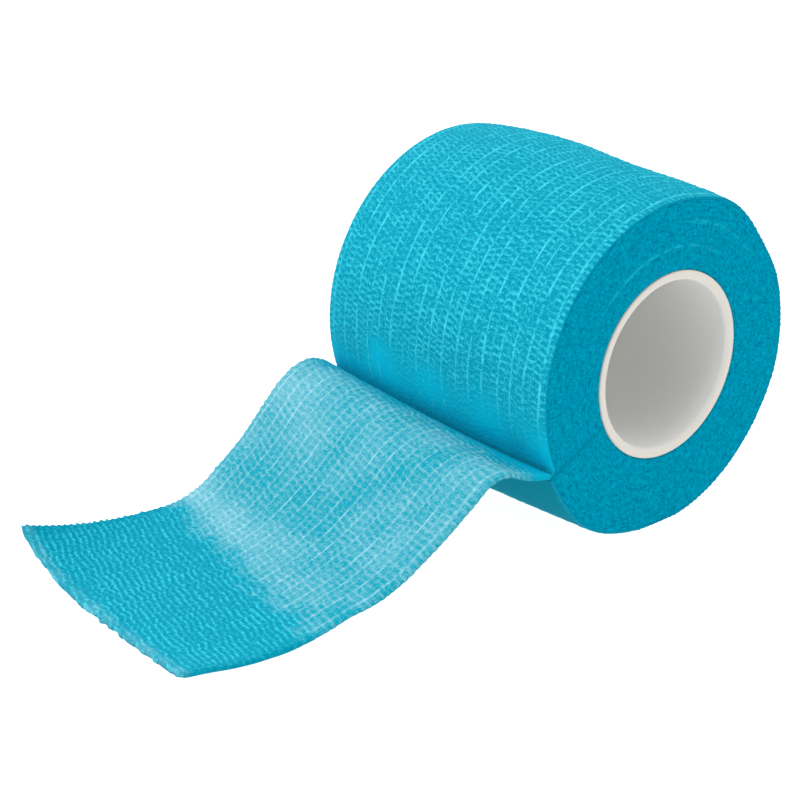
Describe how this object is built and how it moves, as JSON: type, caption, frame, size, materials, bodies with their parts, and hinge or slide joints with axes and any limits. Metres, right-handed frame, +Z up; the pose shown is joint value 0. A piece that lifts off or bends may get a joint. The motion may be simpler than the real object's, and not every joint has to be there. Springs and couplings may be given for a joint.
{
  "type": "cohesive bandage roll",
  "caption": "Crinkled elastic self-clinging bandage wound on a plastic core, lying on its round side with the loose end peeled out on the surface.",
  "frame": {"origin": "middle of the small flat spot on which the roll rests, under the middle of its width", "axes": "+Z up, the roll's axis along Y, the loose end runs out along -X"},
  "size_m": [0.1184, 0.0575, 0.0563],
  "materials": {
    "cohesive_cloth": "crinkled elastic nonwoven, matte, turquoise, paler where it is stretched",
    "core_plastic": "smooth satin white"
  },
  "bodies": {
    "root": {"core": "core_plastic", "wound_roll": "cohesive_cloth", "loose_end": "cohesive_cloth"}
  },
  "joints": []
}
